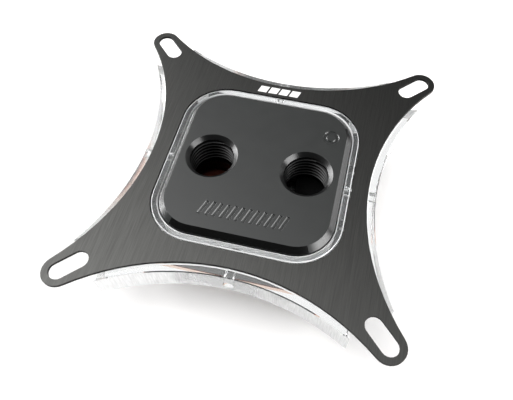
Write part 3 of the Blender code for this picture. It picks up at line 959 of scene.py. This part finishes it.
def reach(face):
    """How far out a face lies, measured square to the block's sides."""
    return max(abs(face.center.x), abs(face.center.y))


def port_distance(face, centre_x):
    return math.hypot(face.center.x - centre_x, face.center.y)


def at_side(face):
    """Whether a face is part of the clear plate's outer side and not of a diode bore."""
    return face.area > SIDE_FACE_AREA and reach(face) > RAIL_REACH


def in_diode_bore(face, plate_bottom, plate_top):
    inside = plate_bottom + BORE_MARGIN < face.center.z < plate_top - BORE_MARGIN
    return inside and reach(face) > RAIL_REACH and not at_side(face)


def lip_outer_half():
    """Half the lip's width over its flat outer sides, from the vertices above the clear plate."""
    bracket_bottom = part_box("mounting_bracket")[0].z
    mesh = frame["nodes"]["light_plate"].data
    return max(vert.co.x for vert in mesh.vertices if vert.co.z > bracket_bottom)


# Pieces

def finished(piece, material):
    piece.data.materials.clear()
    piece.data.materials.append(material)
    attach(piece, "root")
    return piece


def further(piece, material, chosen):
    """Gives one more material to the faces that the test chooses."""
    piece.data.materials.append(material)
    for face in piece.data.polygons:
        if chosen(face):
            face.material_index = len(piece.data.materials) - 1


def dress_bracket():
    plate = refined("mounting_bracket", "bracket_plate")
    finished(plate, brushed_aluminium())
    # The upright walls take a painted shade.
    further(plate, shaded_cut_aluminium(), upright)
    return plate


def dress_clear_plate(bracket):
    plate = finished(refined("light_plate", "clear_plate"), clear_acrylic())
    plate_bottom, lip_top = (corner.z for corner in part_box("light_plate"))
    plate_top = max(face.center.z for face in plate.data.polygons if reach(face) > RAIL_REACH)
    # Opaque white, a painted highlight on the lip's chamfers and on the ridges.
    edge = painted_highlight_acrylic()
    rims = chains(rim_edges(bracket.data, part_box("mounting_bracket")[0].z))
    # White ridges along the bracket's arcs: a painted highlight.
    finished(ridges("painted_highlight_ridges", rims, plate_top + RIDGE_LIFT), edge)
    lip_reach = lip_outer_half() + LIP_MARGIN
    further(plate, milled_acrylic(), lambda face: upright(face) and reach(face) < lip_reach)
    further(plate, routed_acrylic(), lambda face: upright(face) and at_side(face))
    further(plate, bored_acrylic(), lambda face: in_diode_bore(face, plate_bottom, plate_top))
    further(plate, lip_acrylic(), lambda face: face.center.z > lip_top - TOLERANCE)
    further(plate, edge, lambda face: tilted(face) and face.center.z > lip_top - LIP_EDGE)
    further(plate, hazy_acrylic(), lambda face: face.center.z < plate_bottom + TOLERANCE)


def dress_base():
    base = finished(refined("cold_plate", "copper_base"), machined_copper())
    shaded_from = SHADED_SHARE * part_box("cold_plate")[1].z
    # Painted shade on the copper's upper faces inside the chamber.
    further(base, shaded_copper(), lambda face: face.center.z > shaded_from and not upright(face))


def dress_housing(boss_top):
    housing = refined("top_housing", "block_top")
    engraving = strokes("engraving", name_place_lines(), boss_top)
    inlet_mark = ring_groove("inlet_mark", INLET_MARK, INLET_MARK_RADIUS, boss_top)
    cut_with(housing, [engraving, inlet_mark])
    finished(housing, black_acetal())
    # The boss's chamfers: smoother, and darker by painted shade.
    further(housing, cut_and_shaded_acetal(), lambda face: tilted(face) and reach(face) > CHAMFER_REACH)
    flange_limit = boss_top - FLANGE_DROP
    further(
        housing,
        flange_acetal(),
        lambda face: level(face) and face.center.z < flange_limit and reach(face) > FLANGE_REACH,
    )
    return housing


def dress_port(housing, name, centre_x, boss_top, port_floor):
    cone = cone_acetal(name, centre_x)
    bore = bore_acetal(name, centre_x)
    deep = boss_top - THREAD_LENGTH

    def in_port(face):
        return port_distance(face, centre_x) < THREAD_ROOT_RADIUS

    further(housing, bore, lambda face: upright(face) and in_port(face))
    further(housing, port_floor, lambda face: level(face) and in_port(face) and face.center.z < deep)
    ridge = finished(thread(name + "_thread", centre_x, boss_top), bore)
    # The thread's crest edges take the cone's finish, a painted highlight against the bore's painted
    # shade.
    further(
        ridge, cone, lambda face: tilted(face) and port_distance(face, centre_x) < THREAD_EDGE_RADIUS
    )
    ring = finished(countersink(name + "_countersink", centre_x, boss_top), bore)
    further(ring, cone, tilted)


def dress_inside():
    """The screws, the jet plate, its gasket and the seal."""
    steel = stainless_steel()
    rubber = black_rubber()
    for node, item in frame["nodes"].items():
        if "screw" in node:
            finished(refined(node, node.replace("screw", "bolt")), steel)
        elif node in ("jet_plate", "jet_gasket", "base_seal"):
            item.data.materials.clear()
            item.data.materials.append(steel if node == "jet_plate" else rubber)


scene = bpy.context.scene
scene.view_settings.view_transform = "Standard"
scene.cycles.max_bounces = LIGHT_BOUNCES
scene.cycles.transmission_bounces = LIGHT_BOUNCES
scene.cycles.glossy_bounces = LIGHT_BOUNCES

camera()
for lamp, (place, aim, size, radiance) in LAMPS.items():
    softbox(lamp, place, aim, size, radiance)
floor()
world()

bracket_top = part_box("mounting_bracket")[1].z
boss_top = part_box("top_housing")[1].z
dress_clear_plate(dress_bracket())
dress_base()
housing = dress_housing(boss_top)
port_floor = shaded_acetal()
dress_port(housing, "inlet", PORT_X, boss_top, port_floor)
dress_port(housing, "outlet", -PORT_X, boss_top, port_floor)
dress_inside()
finished(slabs("print_blocks", print_outlines(), bracket_top, PRINT_THICKNESS), white_print())
